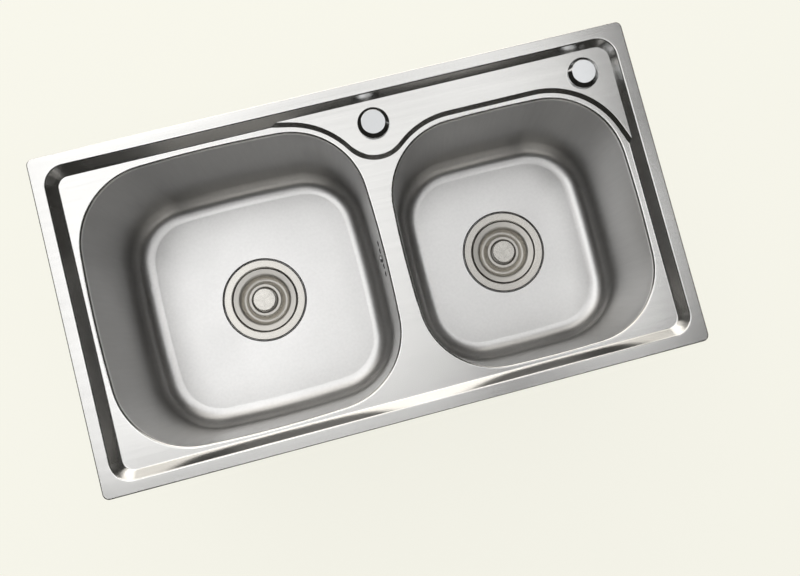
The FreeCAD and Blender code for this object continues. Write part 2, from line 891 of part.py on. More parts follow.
# --- overflow ------------------------------------------------------------------------------
def overflow_front():
    """X of the plane where the overflow box meets its gasket."""
    lean = wall_lean * (deck_top - overflow_box_top())
    return left_bowl_right + sheet - lean + overflow_gasket_thick


def overflow_box_top():
    return rim_top - overflow_drop + overflow_box_height / 2


def overflow_block(front, back, trim):
    """A block behind the slots, smaller all round by a trim."""
    middle = overflow_middle()
    width = overflow_box_width - 2 * trim
    height = overflow_box_height - 2 * trim
    return Part.makeBox(
        back - front, width, height, vec(front, middle.y - width / 2, middle.z - height / 2)
    )


def overflow_gasket():
    """Rubber gasket shaped to the bowl's wall, with a window round each pair of slots."""
    front = overflow_front()
    middle = overflow_middle()
    start = vec(left_bowl_right - bowl_draft, middle.y, middle.z)
    body = overflow_block(start.x, front, 0)
    window = overflow_block(start.x - OVER, front + OVER, overflow_window_frame)
    bar = Part.makeBox(
        front - start.x + 2 * OVER, 2 * overflow_boss_radius, overflow_box_height,
        vec(start.x - OVER, middle.y - overflow_boss_radius, middle.z - overflow_box_height / 2),
    )
    body = body.cut(window.cut(bar)).cut(bowl_form(left_bowl, sheet))
    return body.cut(along_x(overflow_screw_radius + hole_play, start, front + OVER))


def pipe_column():
    """The overflow pipe's upright axis, behind the gasket plane."""
    return vec(overflow_front() + overflow_box_back - pipe_column_inset, left_bowl.centre.y, 0)


def overflow_box():
    """Moulded box behind the slots: open to the gasket, a screw boss, a socket below."""
    front = overflow_front()
    back = front + overflow_box_back
    body = overflow_block(front, back, 0)
    body = body.cut(overflow_block(front - OVER, back - overflow_box_wall, overflow_box_wall))
    middle = overflow_middle()
    boss_start = vec(front, middle.y, middle.z)
    body = body.fuse(along_x(overflow_boss_radius, boss_start, back - overflow_box_wall / 2))
    low = overflow_box_top() - overflow_box_height
    socket = pipe_radius + pipe_play
    column = pipe_column()
    outer = socket + pipe_socket_wall
    spout = Part.makeCylinder(outer, pipe_socket_depth, column + UP * (low - pipe_socket_depth))
    body = body.fuse(spout)
    body = body.cut(Part.makeCylinder(socket, pipe_socket_depth, column + UP * (low - pipe_socket_depth)))
    body = body.cut(Part.makeCylinder(pipe_bore, 2 * overflow_box_wall, column + UP * (low - OVER)))
    return body.cut(along_x(overflow_screw_radius + thread_play, boss_start, boss_end()))


def boss_end():
    """X where the boss's blind hole ends."""
    return overflow_front() + overflow_box_back - 2 * overflow_box_wall


def overflow_screw():
    """Screw from inside the bowl that clamps the wall between its head and the box."""
    middle = overflow_middle()
    seat = middle.x - wall_lean * overflow_screw_head - seat_clearance
    shank = along_x(overflow_screw_radius, vec(seat, middle.y, middle.z), boss_end() - OVER)
    head = along_x(
        overflow_screw_head, vec(seat - overflow_screw_head_thick, middle.y, middle.z), seat
    )
    rim = Part.Wire(
        Part.makeCircle(
            overflow_screw_head, vec(seat - overflow_screw_head_thick, middle.y, middle.z), vec(1, 0, 0)
        )
    )
    head = head.makeFillet(overflow_screw_head_thick / 2, edges_on(head, rim))
    face = vec(seat - overflow_screw_head_thick, middle.y, middle.z)
    turn = FreeCAD.Rotation(vec(0, 1, 0), 90)
    slots = crossed_slots(overflow_screw_head, FreeCAD.Placement(face, turn))
    return head.fuse(shank).cut(slots)


def overflow_pipe():
    """Rigid pipe down between the bowls, round one bend and into the left outlet housing."""
    column = pipe_column()
    top = column + UP * (overflow_box_top() - overflow_box_height - seat_clearance)
    axis = pipe_axis_height()
    bend_start = column + UP * (axis + pipe_bend)
    bend_end = column + vec(-pipe_bend, 0, axis)
    bend_centre = column + vec(-pipe_bend, 0, axis + pipe_bend)
    middle = towards(bend_centre, column + UP * axis, pipe_bend)
    port_end = left_bowl.centre.x + chamber_radius + port_length
    stop = port_end - pipe_socket_depth + seat_clearance
    path = Part.Wire(
        [
            line(top, bend_start),
            arc(bend_start, middle, bend_end),
            line(bend_end, vec(stop, column.y, axis)),
        ]
    )
    outer = path.makePipeShell([ring_line(pipe_radius, top, 0)], True, True)
    inner = path.makePipeShell([ring_line(pipe_bore, top, 0)], True, True)
    return outer.cut(inner)


# --- worktop clips -------------------------------------------------------------------------
def clip_sides():
    """Every clip's bowl, the way out of the sink there, and its place along that side."""
    places = []
    for bowl, sides in ((left_bowl, (90, 180, 270)), (right_bowl, (0, 90, 270))):
        for degrees in sides:
            for offset in (-clip_spacing / 2, clip_spacing / 2):
                places.append((bowl, degrees, offset))
    return places


def clip_frame(bowl, degrees, offset):
    """A placement at the rim's outer edge whose X points out of the sink."""
    out = polar(vec(0, 0, 0), 1, degrees)
    beside = polar(vec(0, 0, 0), 1, degrees + 90)
    half = abs(out.x) * sink_length / 2 + abs(out.y) * sink_width / 2
    place = out * half + beside * (beside.dot(bowl.centre) + offset)
    return FreeCAD.Placement(place, FreeCAD.Rotation(UP, degrees))


def wall_reach(bowl, degrees):
    """How far in from the rim's outer edge a bowl's wall lies."""
    out = polar(vec(0, 0, 0), 1, degrees)
    half = abs(out.x) * sink_length / 2 + abs(out.y) * sink_width / 2
    bowl_half = abs(out.x) * bowl.length / 2 + abs(out.y) * bowl.width / 2
    return half - out.dot(bowl.centre) - bowl_half - sheet


def block(start, end, width, low, high):
    """A block along a clip's X, centred on it."""
    return Part.makeBox(end - start, width, high - low, vec(start, -width / 2, low))


def clip_hole(play, low, high):
    """The cutter for a clamp screw's hole."""
    return drill(clip_screw_radius + play, low, high, vec(screw_line, 0, 0))


def clip_brackets():
    """Angle brackets welded to the bowls' walls, each with a threaded hole for its screw."""
    brackets = []
    for bowl, degrees, offset in clip_sides():
        frame = clip_frame(bowl, degrees, offset)
        reach = wall_reach(bowl, degrees)
        inner = -reach - bowl_draft
        low = -bracket_low - bracket_height
        high = collar_bottom - bracket_gap
        leg = block(inner, -reach + bracket_thick + OVER, bracket_width, low, high)
        skin = bowl_form(bowl, sheet + bracket_thick)
        leg = placed(leg, frame).common(skin)
        tab = block(inner, tab_end, bracket_width, -bracket_low - bracket_thick, -bracket_low)
        hole = clip_hole(thread_play, -bracket_low - bracket_thick, -bracket_low)
        whole = leg.fuse(placed(tab.cut(hole), frame))
        brackets.append(whole.cut(bowl_form(bowl, sheet)))
    return brackets


def worktop_clips():
    """Bent straps whose outer lips press up on the worktop's underside."""
    floor = -worktop_thick - clip_rise
    clips = []
    for bowl, degrees, offset in clip_sides():
        strap = block(clip_inner, -clip_edge_gap, clip_width, floor - clip_thick, floor)
        lip = block(-clip_edge_gap - clip_thick, -clip_edge_gap, clip_width, floor, -worktop_thick)
        heel = block(clip_inner, clip_inner + clip_thick, clip_width, floor, -bracket_low - bracket_thick)
        hole = clip_hole(hole_play, floor - clip_thick, floor)
        clips.append(placed(strap.fuse([lip, heel]).cut(hole), clip_frame(bowl, degrees, offset)))
    return clips


def clip_screws():
    """Clamp screws up through the clips into the brackets."""
    low = -worktop_thick - clip_rise - clip_thick
    high = -bracket_low + clip_screw_spare
    screws = []
    for bowl, degrees, offset in clip_sides():
        shank = Part.makeCylinder(clip_screw_radius, high - low, vec(screw_line, 0, low))
        face = vec(screw_line, 0, low - clip_screw_head_thick)
        head = Part.makeCylinder(clip_screw_head, clip_screw_head_thick, face)
        slots = crossed_slots(clip_screw_head, FreeCAD.Placement(face, FreeCAD.Rotation()))
        screw = shank.fuse(head).cut(slots)
        screws.append(placed(screw, clip_frame(bowl, degrees, offset)))
    return screws


def sound_pad(bowl):
    """Rubber pad under a bowl floor, with a hole round the strainer's nut."""
    low = floor_top - sheet - pad_thick
    pad = prism(bowl_outline(bowl, low, -pad_margin), pad_thick)
    hole = lock_nut_radius + lock_nut_lug_out + pad_nut_gap
    return pad.cut(drill(hole, low, low + pad_thick, bowl.centre))


# --- the parts -----------------------------------------------------------------------------
def write(name, shape):
    if isinstance(shape, list):
        shape = Part.makeCompound(shape)
    shape = shape.removeSplitter()
    shape.exportStep(os.path.join("parts", name + ".step"))


def main():
    os.makedirs("parts", exist_ok=True)
    middle_tap, right_tap = tap_hole_places()
    write("top_panel", top_panel())
    write("left_bowl", left_bowl_shell())
    write("right_bowl", bowl_shell(right_bowl))
    write("rim_seal", rim_seal())
    write("middle_tap_cap", tap_cap(middle_tap))
    write("right_tap_cap", tap_cap(right_tap))
    write("tap_cap_gaskets", cap_gaskets())
    write("tap_cap_washers", cap_washers())
    write("tap_cap_wing_nuts", cap_nuts())
    for bowl in (left_bowl, right_bowl):
        write(bowl.name + "_strainer_body", strainer_body(bowl))
        write(bowl.name + "_flange_gasket", flange_gasket(bowl))
        write(bowl.name + "_floor_gasket", floor_gasket(bowl))
        write(bowl.name + "_friction_ring", friction_ring(bowl))
        write(bowl.name + "_lock_nut", lock_nut(bowl))
        write(bowl.name + "_outlet_seal", outlet_seal(bowl))
        write(bowl.name + "_basket", basket(bowl))
        write(bowl.name + "_basket_knob", basket_knob(bowl))
        write(bowl.name + "_basket_stopper", basket_stopper(bowl))
        write(bowl.name + "_sound_pad", sound_pad(bowl))
    write("left_outlet_housing", left_outlet_housing())
    write("right_outlet_housing", outlet_housing(right_bowl))
    write("overflow_gasket", overflow_gasket())
    write("overflow_box", overflow_box())
    write("overflow_screw", overflow_screw())
    write("overflow_pipe", overflow_pipe())
    write("clip_brackets", clip_brackets())
    write("worktop_clips", worktop_clips())
    write("clip_screws", clip_screws())


main()
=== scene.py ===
"""Finishes, fine details and a photo stage for a double bowl kitchen sink."""

import math

import bpy
from bpy.props import FloatProperty, FloatVectorProperty, IntProperty, PointerProperty
from mathutils import Matrix, Vector


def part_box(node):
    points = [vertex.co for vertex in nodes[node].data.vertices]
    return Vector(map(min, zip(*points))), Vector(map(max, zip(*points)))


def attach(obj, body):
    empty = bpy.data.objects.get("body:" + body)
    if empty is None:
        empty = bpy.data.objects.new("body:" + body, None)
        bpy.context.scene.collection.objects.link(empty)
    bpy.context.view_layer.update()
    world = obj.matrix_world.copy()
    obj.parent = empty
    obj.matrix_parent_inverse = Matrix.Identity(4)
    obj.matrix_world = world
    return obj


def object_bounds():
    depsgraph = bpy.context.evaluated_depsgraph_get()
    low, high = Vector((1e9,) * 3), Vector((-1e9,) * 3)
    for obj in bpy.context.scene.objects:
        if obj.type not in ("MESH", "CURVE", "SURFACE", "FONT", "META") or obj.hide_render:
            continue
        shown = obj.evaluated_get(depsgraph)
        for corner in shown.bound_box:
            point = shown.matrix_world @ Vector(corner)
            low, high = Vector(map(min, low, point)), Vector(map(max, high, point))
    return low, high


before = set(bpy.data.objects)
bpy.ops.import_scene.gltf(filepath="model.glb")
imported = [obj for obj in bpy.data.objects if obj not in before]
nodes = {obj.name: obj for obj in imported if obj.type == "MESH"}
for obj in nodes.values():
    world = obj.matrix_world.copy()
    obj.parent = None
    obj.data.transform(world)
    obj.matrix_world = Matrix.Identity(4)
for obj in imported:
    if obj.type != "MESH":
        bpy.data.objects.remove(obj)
cad_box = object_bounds()

bl_info = {
    "name": "Double Bowl Sink",
    "version": (1, 0, 0),
    "blender": (4, 5, 0),
    "location": "View3D > Sidebar > Sink",
    "description": "Finishes, fine details and a photo stage for a double bowl kitchen sink",
    "category": "Object",
}

SIDES = ("left", "right")


# --- node trees written as expressions -----------------------------------------------------
class Number:
    """A value that changes over a surface. Python's operators add its Math nodes."""

    def __init__(self, graph, socket):
        self.graph = graph
        self.socket = socket

    def __add__(self, other):
        return self.graph.math("ADD", self, other)

    def __sub__(self, other):
        return self.graph.math("SUBTRACT", self, other)

    def __rsub__(self, other):
        return self.graph.math("SUBTRACT", other, self)

    def __mul__(self, other):
        return self.graph.math("MULTIPLY", self, other)

    def __truediv__(self, other):
        return self.graph.math("DIVIDE", self, other)

    def __rtruediv__(self, other):
        return self.graph.math("DIVIDE", other, self)

    __radd__ = __add__
    __rmul__ = __mul__


class Graph:
    """A node tree being built."""

    def __init__(self, tree):
        self.tree = tree
        tree.nodes.clear()

    def node(self, kind, settings=None, inputs=None):
        """Adds a node: first its settings, then the values or links of its sockets."""
        made = self.tree.nodes.new(kind)
        for name, value in (settings or {}).items():
            if name == "stops":
                self.set_stops(made.color_ramp, value)
            else:
                setattr(made, name, value)
        for key, value in (inputs or {}).items():
            socket = next(s for s in made.inputs if key in (s.identifier, s.name))
            self.feed(socket, value)
        return made

    def feed(self, socket, value):
        """Links a value to a socket, or sets the socket to it."""
        if isinstance(value, Number):
            self.tree.links.new(value.socket, socket)
        elif isinstance(value, bpy.types.NodeSocket):
            self.tree.links.new(value, socket)
        else:
            socket.default_value = value

    def set_stops(self, ramp, stops):
        """Gives a ramp its stops of place and level."""
        while len(ramp.elements) < len(stops):
            ramp.elements.new(1.0)
        for element, (place, level) in zip(ramp.elements, stops):
            element.position = place
            element.color = (level, level, level, 1.0)

    def math(self, operation, first, second=0.0):
        """A Math node on one or two numbers."""
        made = self.node("ShaderNodeMath", {"operation": operation})
        self.feed(made.inputs[0], first)
        self.feed(made.inputs[1], second)
        return Number(self, made.outputs[0])


class Finish(Graph):
    """A material being built on one Principled surface."""

    def __init__(self, name):
        self.material = bpy.data.materials.new(name)
        self.material.use_nodes = True
        super().__init__(self.material.node_tree)
        self.place = self.node("ShaderNodeTexCoord").outputs["Object"]

    def about(self, centre, scale=(1.0, 1.0, 1.0)):
        """Object coordinates in metres, measured from a centre and stretched."""
        moved = self.node(
            "ShaderNodeVectorMath",
            {"operation": "SUBTRACT"},
            {"Vector": self.place, "Vector_001": tuple(centre)},
        )
        return self.node(
            "ShaderNodeVectorMath",
            {"operation": "MULTIPLY"},
            {"Vector": moved.outputs[0], "Vector_001": scale},
        ).outputs[0]

    def parts_of(self, vector):
        """The three numbers of a vector."""
        split = self.node("ShaderNodeSeparateXYZ", None, {"Vector": vector})
        return [Number(self, socket) for socket in split.outputs]

    def noise(self, vector, scale, detail=2.0, rough=0.5):
        """Soft noise over a vector, finer with a greater scale."""
        made = self.node(
            "ShaderNodeTexNoise",
            None,
            {"Vector": vector, "Scale": scale, "Detail": detail, "Roughness": rough},
        )
        return Number(self, made.outputs[0])

    def line_noise(self, value, detail=3.0):
        """Noise along one number, for lines that turning leaves."""
        made = self.node(
            "ShaderNodeTexNoise",
            {"noise_dimensions": "1D"},
            {"W": value, "Scale": 1.0, "Detail": detail},
        )
        return Number(self, made.outputs[0])

    def ramp(self, value, *stops):
        """A number turned into another by stops of place and level."""
        made = self.node("ShaderNodeValToRGB", {"stops": stops}, {"Fac": value})
        return Number(self, made.outputs[0])

    def blend(self, factor, first, second):
        """Two colours mixed."""
        made = self.node(
            "ShaderNodeMix",
            {"data_type": "RGBA"},
            {
                "Factor_Float": factor,
                "A_Color": with_alpha(first),
                "B_Color": with_alpha(second),
            },
        )
        return made.outputs[2]

    def bump(self, height, depth, strength=1.0):
        """Relief of a depth in metres."""
        made = self.node(
            "ShaderNodeBump",
            None,
            {"Strength": strength, "Distance": depth, "Height": height},
        )
        return made.outputs[0]

    def surface(self, **inputs):
        """The Principled surface that ends the material. Names use _ for a space."""
        named = {key.replace("_", " "): value for key, value in inputs.items()}
        shader = self.node("ShaderNodeBsdfPrincipled", None, named)
        self.node("ShaderNodeOutputMaterial", None, {"Surface": shader.outputs[0]})
        return self.material


def with_alpha(value):
    """A colour with its alpha, unless it is a link already."""
    if isinstance(value, (Number, bpy.types.NodeSocket)):
        return value
    return (*value, 1.0)


def shaded(colour, amount):
    """A colour made darker, or lighter above 1."""
    return [min(1.0, part * amount) for part in colour]


# --- shapes that repeat or follow a path ---------------------------------------------------
class Shaping(Graph):
    """A Geometry Nodes tree being built, whose inputs have names."""

    def __init__(self, name, **sizes):
        super().__init__(bpy.data.node_groups.new(name, "GeometryNodeTree"))
        self.name = name
        face = self.tree.interface
        face.new_socket("Geometry", in_out="INPUT", socket_type="NodeSocketGeometry")
        face.new_socket("Geometry", in_out="OUTPUT", socket_type="NodeSocketGeometry")
        self.values = {}
        for label, value in sizes.items():
            kind = "NodeSocketInt" if isinstance(value, int) else "NodeSocketFloat"
            socket = face.new_socket(label.replace("_", " "), in_out="INPUT", socket_type=kind)
            self.values[socket.identifier] = value
        given = face.new_socket("finish", in_out="INPUT", socket_type="NodeSocketMaterial")
        self.finish_input = given.identifier
        outputs = self.node("NodeGroupInput").outputs
        self.start = outputs["Geometry"]
        self.finish = outputs["finish"]
        self.size = {
            label: Number(self, outputs[label.replace("_", " ")]) for label in sizes
        }

    def vector(self, x=0.0, y=0.0, z=0.0):
        """Three numbers as one vector."""
        made = self.node("ShaderNodeCombineXYZ", None, {"X": x, "Y": y, "Z": z})
        return made.outputs[0]

    def copies(self, points, shape, rotation=(0.0, 0.0, 0.0)):
        """A shape at each point."""
        made = self.node(
            "GeometryNodeInstanceOnPoints",
            None,
            {"Points": points, "Instance": shape, "Rotation": rotation},
        )
        return made.outputs[0]

    def bake(self, geometry, base, material, slot, body="sink"):
        """Ends the tree, runs it on a base mesh and keeps the result as a plain piece."""
        real = self.node("GeometryNodeRealizeInstances", None, {"Geometry": geometry})
        ends = self.node(
            "GeometryNodeSetMaterial",
            None,
            {"Geometry": real.outputs[0], "Material": self.finish},
        )
        self.node("NodeGroupOutput", None, {"Geometry": ends.outputs[0]})
        piece = bpy.data.objects.new(self.name, base)
        bpy.context.collection.objects.link(piece)
        modifier = piece.modifiers.new("shape", "NODES")
        modifier.node_group = self.tree
        for identifier, value in self.values.items():
            modifier[identifier] = value
        modifier[self.finish_input] = material
        evaluated = piece.evaluated_get(bpy.context.evaluated_depsgraph_get())
        shape = bpy.data.meshes.new_from_object(evaluated)
        piece.modifiers.clear()
        piece.data = shape
        bpy.data.meshes.remove(base)
        if not shape.polygons:
            raise RuntimeError(self.name + " came out empty")
        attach(piece, body)
        return piece


def base_points(name, points, closed=False):
    """A mesh of points for a tree to work on, joined into a loop where closed."""
    mesh = bpy.data.meshes.new(name)
    count = len(points)
    edges = [(i, (i + 1) % count) for i in range(count)] if closed else []
    mesh.from_pydata([tuple(point) for point in points], edges, [])
    return mesh


def thread_ridge(name, places, radius, low, high, pitch, ridge, material, slot, facets):
    """A screw thread's ridge wound round a shank at each place."""
    turns = (high - low - 2 * ridge) / pitch
    tree = Shaping(name, radius=radius, pitch=pitch, turns=turns, ridge=ridge, facets=facets)
    size = tree.size
    spiral = tree.node(
        "GeometryNodeCurveSpiral",
        None,
        {
            "Resolution": size["facets"],
            "Rotations": size["turns"],
            "Start Radius": size["radius"],
            "End Radius": size["radius"],
            "Height": size["pitch"] * size["turns"],
        },
    )
    upright = tree.node(
        "GeometryNodeSetCurveNormal", {"mode": "Z_UP"}, {"Curve": spiral.outputs[0]}
    )
    profile = tree.node(
        "GeometryNodeCurvePrimitiveCircle", None, {"Resolution": 4, "Radius": size["ridge"]}
    )
    wound = tree.node(
        "GeometryNodeCurveToMesh",
        None,
        {"Curve": upright.outputs[0], "Profile Curve": profile.outputs[0], "Fill Caps": True},
    )
    points = tree.node("GeometryNodeMeshToPoints", None, {"Mesh": tree.start})
    starts = [(x, y, low + ridge) for x, y in places]
    return tree.bake(
        tree.copies(points.outputs[0], wound.outputs[0]),
        base_points(name, starts),
        material,
        slot,
    )


def weld_bead(name, path, pitch, width, height, material, slot):
    """A row of overlapping weld beads along a closed path."""
    tree = Shaping(name, pitch=pitch, width=width, height=height)
    size = tree.size
    line = tree.node("GeometryNodeMeshToCurve", None, {"Mesh": tree.start})
    steps = tree.node(
        "GeometryNodeResampleCurve",
        {"mode": "LENGTH"},
        {"Curve": line.outputs[0], "Length": size["pitch"]},
    )
    bead = tree.node(
        "GeometryNodeMeshUVSphere", None, {"Segments": 7, "Rings": 4, "Radius": 1.0}
    )
    pressed = tree.node(
        "GeometryNodeTransform",
        None,
        {
            "Geometry": bead.outputs[0],
            "Scale": tree.vector(size["pitch"], size["height"], size["width"] / 2.0),
        },
    )
    along = tree.node("GeometryNodeInputTangent")
    turned = tree.node(
        "FunctionNodeAlignRotationToVector",
        {"axis": "X", "pivot_axis": "Z"},
        {"Vector": along.outputs[0]},
    )
    return tree.bake(
        tree.copies(steps.outputs[0], pressed.outputs[0], turned.outputs[0]),
        base_points(name, path, closed=True),
        material,
        slot,
    )


def grip_ribs(name, places, radius, low, high, count, rib, material, slot):
    """Upright ribs round a collar at each place, for gripping it by hand."""
    tree = Shaping(name, radius=radius, height=high - low, rib=rib, count=count)
    size = tree.size
    ring = tree.node(
        "GeometryNodeMeshCircle", None, {"Vertices": size["count"], "Radius": size["radius"]}
    )
    post = tree.node(
        "GeometryNodeMeshCylinder",
        {"fill_type": "TRIANGLE_FAN"},
        {"Vertices": 8, "Radius": size["rib"], "Depth": size["height"]},
    )
    crown = tree.copies(ring.outputs[0], post.outputs[0])
    points = tree.node("GeometryNodeMeshToPoints", None, {"Mesh": tree.start})
    starts = [(x, y, (low + high) / 2) for x, y in places]
    return tree.bake(
        tree.copies(points.outputs[0], crown), base_points(name, starts), material, slot
    )


def spot_welds(name, places, radius, height, material, slot):
    """Small round weld marks, each lying flat on a sheet that faces its own way."""
    tree = Shaping(name, radius=radius, height=height)
    size = tree.size
    mark = tree.node(
        "GeometryNodeMeshUVSphere", None, {"Segments": 12, "Rings": 4, "Radius": 1.0}
    )
    pressed = tree.node(
        "GeometryNodeTransform",
        None,
        {
            "Geometry": mark.outputs[0],
            "Scale": tree.vector(size["radius"], size["radius"], size["height"]),
        },
    )
    facing = tree.node(
        "GeometryNodeInputNamedAttribute", {"data_type": "FLOAT_VECTOR"}, {"Name": "facing"}
    )
    turned = tree.node(
        "FunctionNodeAlignRotationToVector", {"axis": "Z"}, {"Vector": facing.outputs[0]}
    )
    points = tree.node("GeometryNodeMeshToPoints", None, {"Mesh": tree.start})
    base = base_points(name, [place for place, _ in places])
    facings = base.attributes.new("facing", "FLOAT_VECTOR", "POINT")
    for item, (_, way) in zip(facings.data, places):
        item.vector = way
    return tree.bake(
        tree.copies(points.outputs[0], pressed.outputs[0], turned.outputs[0]),
        base,
        material,
        slot,
    )


# --- places read from the frame ------------------------------------------------------------
def dress(material, *names):
    """Gives frame nodes a material."""
    for name in names:
        for slot in nodes[name].material_slots:
            slot.material = material


def middle(name):
    """The middle of a frame node's box."""
    low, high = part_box(name)
    return (Vector(low) + Vector(high)) / 2


def main_way(vector):
    """The level axis that a vector lies nearest to, as a unit vector."""
    if abs(vector.x) > abs(vector.y):
        return Vector((math.copysign(1.0, vector.x), 0.0, 0.0))
    return Vector((0.0, math.copysign(1.0, vector.y), 0.0))


def separate_boxes(name, reach):
    """The boxes of a node's own solids, which lie further apart than a reach."""
    groups = []
    for corner in nodes[name].data.vertices:
        place = corner.co
        for low, high in groups:
            if (place.xy - (low.xy + high.xy) / 2).length < reach:
                for axis in range(3):
                    low[axis] = min(low[axis], place[axis])
                    high[axis] = max(high[axis], place[axis])
                break
        else:
            groups.append((place.copy(), place.copy()))
    return groups


def mouth_outline(name, corner, bow, steps=24):
    """A bowl's outline seen from above: slightly bowed sides that run into round corners.
    A quarter of it is three arcs, each cut into steps."""
    centre = middle(name)
    low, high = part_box(name)
    half = Vector(((high[0] - low[0]) / 2, (high[1] - low[1]) / 2))
    side = Vector((half.x - bow, 0.0))
    back = Vector((0.0, half.y - bow))
    way = back - side
    reach = bow - corner
    along = way.length / 2
    aside = math.sqrt(reach**2 - along**2)
    way.normalize()
    turn = side + way * along + Vector((way.y, -way.x)) * -aside
    on_side = side + (turn - side).normalized() * bow
    on_back = back + (turn - back).normalized() * bow
    quarter = []
    for hub, radius, start, end in (
        (side, bow, Vector((half.x, 0.0)), on_side),
        (turn, corner, on_side, on_back),
        (back, bow, on_back, Vector((0.0, half.y))),
    ):
        first = math.atan2(*(start - hub).yx)
        last = math.atan2(*(end - hub).yx)
        for step in range(steps):
            angle = first + (last - first) * step / steps
            spoke = Vector((math.cos(angle), math.sin(angle)))
            quarter.append(hub + spoke * radius)
    points = [Vector((p.x, p.y)) for p in quarter]
    points += [Vector((-p.x, p.y)) for p in reversed(quarter[1:])]
    points += [Vector((-p.x, -p.y)) for p in quarter]
    points += [Vector((p.x, -p.y)) for p in reversed(quarter[1:])]
    return [centre.xy + point for point in points]


# --- finishes ------------------------------------------------------------------------------
def brushed_sheet(name, colour, rough):
    """Satin sheet steel brushed along the sink, with a little unevenness from pressing."""
    look = Finish(name)
    broad = look.noise(look.place, scale=7.0, detail=2.0)
    fine = look.about((0, 0, 0), (14.0, 1500.0, 700.0))
    lines = look.noise(fine, scale=1.0, detail=3.0, rough=0.6)
    coarse = look.about((0, 0, 0), (3.0, 160.0, 80.0))
    streaks = look.noise(coarse, scale=1.0, detail=2.0)
    return look.surface(
        Base_Color=look.blend(
            look.ramp(lines * 0.6 + streaks * 0.4, (0.32, 0.0), (0.68, 1.0)),
            shaded(colour, 0.93),
            shaded(colour, 1.05),
        ),
        Metallic=1.0,
        Roughness=look.ramp(broad * 0.5 + lines * 0.5, (0.3, rough - 0.04), (0.7, rough + 0.04)),
        Normal=look.bump(lines, 0.00002, 0.5),
    )


def slot_painted_shade(look, centre, pitch, radius, straight, reach=0.02):
    """Mask of painted shade: 1 on the cut edges of the two pairs of upright slots beside a screw,
    otherwise 0.
    """
    x, y, z = look.parts_of(look.about(centre))
    step = y / pitch
    nearest = look.math("ROUND", step)
    number = look.math("ABSOLUTE", nearest)
    aside = (step - nearest) * pitch
    above = look.math("MAXIMUM", look.math("ABSOLUTE", z) - straight / 2, 0.0)
    away = look.math("SQRT", aside * aside + above * above)
    beside_screw = look.math("LESS_THAN", look.math("ABSOLUTE", number - 1.5), 0.6)
    near = look.math("LESS_THAN", away, radius)
    here = look.math("LESS_THAN", look.math("ABSOLUTE", x), reach)
    return near * here * beside_screw


def satin_bowl(name, colour, rough, painted_shade, floor, slots):
    """Matt steel of the deep-drawn bowls: a fine even grain and faint drawing marks,
    with painted shade that darkens the walls above the floor."""
    look = Finish(name)
    _, _, height = look.parts_of(look.place)
    rise = 0.05  # height above the floor that the painted shade's ramp spans
    cut = (0.02, 0.02, 0.02)  # painted shade on the slots' cut edges, near black
    # painted shade: 0 on the bowl's floor, rising to 1 up its walls
    stretched = look.ramp((height - floor) / rise, (0.06, 0.0), (0.55, 1.0))
    broad = look.noise(look.place, scale=8.0, detail=2.0)
    grain = look.noise(look.place, scale=1700.0, detail=3.0, rough=0.6)
    drawn = look.noise(look.about((0, 0, 0), (260.0, 260.0, 9.0)), scale=1.0, detail=2.0)
    marks = look.ramp(grain * 0.5 + drawn * 0.5, (0.3, 0.0), (0.7, 1.0))
    smooth = look.blend(marks, shaded(colour, 0.95), shaded(colour, 1.04))
    # painted shade: the walls' colour, darkened
    dull = look.blend(marks, shaded(colour, 0.95 * painted_shade), shaded(colour, 1.04 * painted_shade))
    sheet = look.blend(stretched, smooth, dull)
    return look.surface(
        # painted shade: the slots' cut edges turned near black
        Base_Color=look.blend(slot_painted_shade(look, *slots), sheet, cut),
        Metallic=1.0,
        Roughness=look.ramp(broad * 0.6 + grain * 0.4, (0.3, rough - 0.04), (0.7, rough + 0.04)),
        Normal=look.bump(grain, 0.00002, 0.4),
    )


def turned_steel(name, colour, rough, centre):
    """Steel brushed in circles about an upright axis."""
    look = Finish(name)
    x, y, _ = look.parts_of(look.about(centre))
    radius = look.math("SQRT", x * x + y * y)
    rings = look.line_noise(radius * 1500.0)
    return look.surface(
        Base_Color=look.blend(rings, shaded(colour, 0.88), shaded(colour, 1.06)),
        Metallic=1.0,
        Roughness=look.ramp(rings, (0.3, rough - 0.05), (0.7, rough + 0.06)),
        Normal=look.bump(rings, 0.00003, 0.5),
    )


def swirled_steel(name, colour, rough, centre):
    """Steel with fine marks that run out from the middle, as on a knob's top."""
    look = Finish(name)
    x, y, _ = look.parts_of(look.about(centre))
    turn = look.math("ARCTAN2", y, x)
    radius = look.math("SQRT", x * x + y * y)
    marks = look.node(
        "ShaderNodeCombineXYZ",
        None,
        {"X": look.math("COSINE", turn), "Y": look.math("SINE", turn), "Z": radius * 60.0},
    )
    rays = look.noise(marks.outputs[0], scale=7.0, detail=3.0, rough=0.6)
    wide = look.noise(marks.outputs[0], scale=1.7, detail=1.0)
    return look.surface(
        Base_Color=look.blend(
            look.ramp(rays * 0.5 + wide * 0.5, (0.3, 0.0), (0.7, 1.0)),
            shaded(colour, 0.74),
            shaded(colour, 1.08),
        ),
        Metallic=1.0,
        Roughness=look.ramp(rays, (0.3, rough - 0.05), (0.7, rough + 0.08)),
        Normal=look.bump(rays, 0.00005, 0.5),
    )


def polished_chrome(name, colour, rough):
    """Chrome plating with a faint haze of fine scratches."""
    look = Finish(name)
    haze = look.noise(look.place, scale=260.0, detail=2.0)
    return look.surface(
        Base_Color=look.blend(haze, shaded(colour, 0.97), colour),
        Metallic=1.0,
        Roughness=look.ramp(haze, (0.3, rough), (0.8, rough + 0.03)),
    )


def soft_rubber(name, colour, rough=0.7):
    """Black rubber with a dusty bloom and a fine grain."""
    look = Finish(name)
    grain = look.noise(look.place, scale=900.0, detail=2.0)
    bloom = look.noise(look.place, scale=40.0, detail=3.0)
    return look.surface(
        Base_Color=look.blend(bloom, colour, [part * 1.5 + 0.008 for part in colour]),
        Roughness=look.ramp(bloom, (0.3, rough - 0.08), (0.7, rough + 0.06)),
        Normal=look.bump(grain, 0.00005, 0.4),
    )


